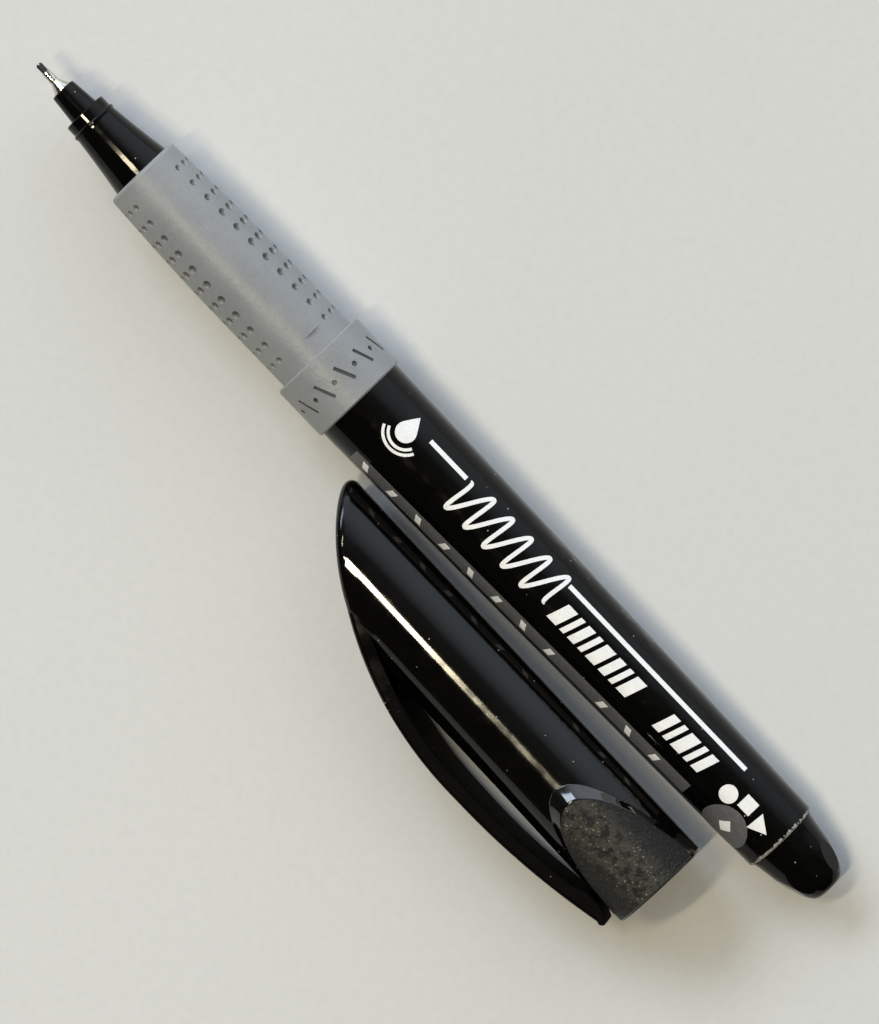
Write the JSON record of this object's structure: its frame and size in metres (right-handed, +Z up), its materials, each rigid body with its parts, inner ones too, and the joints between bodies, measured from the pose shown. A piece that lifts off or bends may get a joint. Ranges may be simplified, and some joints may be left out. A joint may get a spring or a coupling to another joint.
{
  "type": "felt tip marker",
  "caption": "Fine felt tip marker with its cap off: dimpled grip with a wide collar, tapered barrel, flat-sided tail plug and a loose cap with a curved clip and thumb pads.",
  "frame": {"origin": "middle of the whole object's box, on the table it lies on", "axes": "+Z up from the table; +X along the pen from its nib to its tail; the loose cap lies on the pen's -Y side with its mouth towards +X"},
  "size_m": [0.1282, 0.0294, 0.0137],
  "materials": {
    "nib_fibre": "ink-soaked bonded fibre",
    "ferrule_metal": "polished drawn tube",
    "black_gloss": "glossy moulded plastic",
    "grip_grey": "satin soft plastic",
    "ink_fibre": "ink-soaked fibre bundle",
    "clear_film": "thin clear film",
    "liner_natural": "natural polyethylene",
    "print_white": "white printed ink",
    "print_grey": "grey printed ink"
  },
  "bodies": {
    "pen": {"nib": "nib_fibre", "nib_ferrule": "ferrule_metal", "nib_holder": "black_gloss", "feed_wick": "ink_fibre", "front_section": "black_gloss", "grip_sleeve": "grip_grey", "barrel": "black_gloss", "ink_reservoir": "ink_fibre", "reservoir_film": "clear_film", "tail_plug": "black_gloss"},
    "cap": {"cap_shell": "black_gloss", "cap_liner": "liner_natural"},
    "clip": {"cap_clip": "black_gloss"}
  },
  "joints": [
    {"name": "cap_slide", "type": "slide", "parent": "pen", "child": "cap", "axis": [-1, 0, 0], "range_m": [0, 0.115]},
    {"name": "clip_flex", "type": "hinge", "parent": "cap", "child": "clip", "pos_m": [0.01457, -0.01221, 0.00451], "axis": [0.027, 0.2161, -0.976], "range_deg": [0, 3], "stiffness_Nm_per_rad": 0.4}
  ]
}
